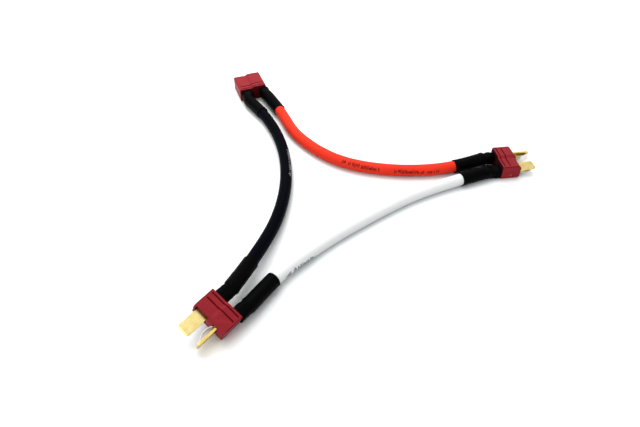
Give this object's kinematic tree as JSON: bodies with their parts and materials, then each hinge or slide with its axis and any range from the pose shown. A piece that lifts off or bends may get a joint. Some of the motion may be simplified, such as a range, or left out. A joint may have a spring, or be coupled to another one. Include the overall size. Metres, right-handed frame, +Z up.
{
  "type": "series battery cable",
  "caption": "Series battery cable: two keyed blade plugs and a matching socket joined in a ring by red, black and white silicone wires, so that two packs add up in voltage.",
  "frame": {"origin": "on the table, under the middle of the box round the two plugs and the socket", "axes": "+Z up from the table, +Y across the ring from the left-hand plug to the socket, +X towards the right-hand plug"},
  "size_m": [0.1616, 0.1927, 0.0133],
  "materials": {
    "red_plastic": "satin moulded nylon",
    "gilded_contact": "bright gilding",
    "spring_steel": "bright",
    "red_silicone": "satin silicone",
    "black_silicone": "satin silicone",
    "white_silicone": "satin silicone",
    "copper_strands": "fine bare strands",
    "black_sleeve": "satin shrink sleeve",
    "solder": "smooth solder"
  },
  "bodies": {
    "root": {"socket_housing": "red_plastic", "socket_upright_contact": "gilded_contact", "socket_flat_contact": "gilded_contact", "right_plug_housing": "red_plastic", "right_plug_upright_blade": "gilded_contact", "right_plug_flat_blade": "gilded_contact", "right_plug_upright_spring": "spring_steel", "right_plug_flat_spring": "spring_steel", "left_plug_housing": "red_plastic", "left_plug_upright_blade": "gilded_contact", "left_plug_flat_blade": "gilded_contact", "left_plug_upright_spring": "spring_steel", "left_plug_flat_spring": "spring_steel", "red_wire": "red_silicone", "black_wire": "black_silicone", "white_wire": "white_silicone", "red_copper": "copper_strands", "black_copper": "copper_strands", "white_copper": "copper_strands", "socket_red_sleeve": "black_sleeve", "socket_black_sleeve": "black_sleeve", "right_red_sleeve": "black_sleeve", "right_white_sleeve": "black_sleeve", "left_black_sleeve": "black_sleeve", "left_white_sleeve": "black_sleeve", "socket_red_solder": "solder", "socket_black_solder": "solder", "right_red_solder": "solder", "right_white_solder": "solder", "left_black_solder": "solder", "left_white_solder": "solder"}
  },
  "joints": []
}
